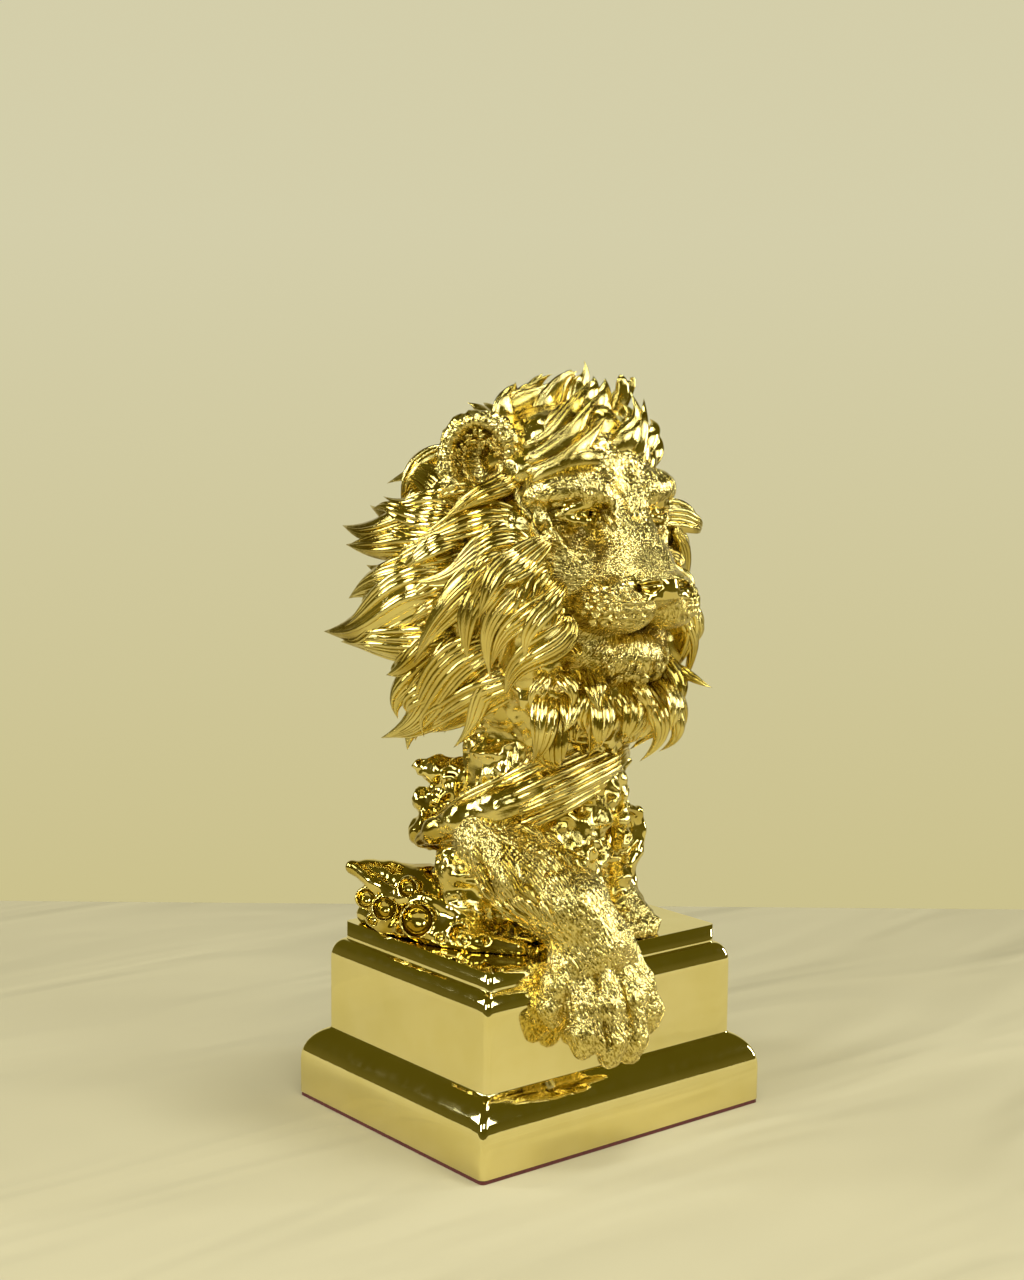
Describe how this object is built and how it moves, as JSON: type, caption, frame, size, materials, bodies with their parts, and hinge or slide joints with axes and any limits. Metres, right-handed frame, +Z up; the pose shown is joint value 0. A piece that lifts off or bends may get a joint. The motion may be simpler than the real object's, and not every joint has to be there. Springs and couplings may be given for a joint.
{
  "type": "figure trophy",
  "caption": "Gold-plated lion bust with one paw hanging over the front of a stepped rectangular plinth.",
  "frame": {"origin": "centre of the felt underside of the plinth", "axes": "+Z up, -Y the way the lion looks (the front), +X the lion's left"},
  "size_m": [0.16, 0.1528, 0.332],
  "materials": {
    "gold_plate": "polished",
    "gold_fur": "satin",
    "bright_steel": "satin",
    "brass_insert": "satin",
    "base_board": "matte",
    "red_felt": "matte"
  },
  "bodies": {
    "root": {"plinth_shell": "gold_plate", "bottom_board": "base_board", "felt_pad": "red_felt", "board_screws": "bright_steel", "tie_bolt": "bright_steel", "flat_washer": "bright_steel", "lock_washer": "bright_steel", "chest_insert": "brass_insert", "locating_dowels": "bright_steel", "neck_rods": "bright_steel", "leg_pins": "bright_steel", "chest_casting": "gold_plate", "head_casting": "gold_fur", "right_ear": "gold_fur", "left_ear": "gold_fur", "crest_locks": "gold_plate", "right_upper_mane": "gold_plate", "right_lower_mane": "gold_plate", "left_upper_mane": "gold_plate", "left_lower_mane": "gold_plate", "back_mane": "gold_plate", "throat_ruff": "gold_plate", "shoulder_sweep": "gold_plate", "shoulder_crags": "gold_plate", "right_scroll": "gold_plate", "left_scroll": "gold_plate", "right_foreleg": "gold_fur", "left_foreleg": "gold_fur"}
  },
  "joints": []
}
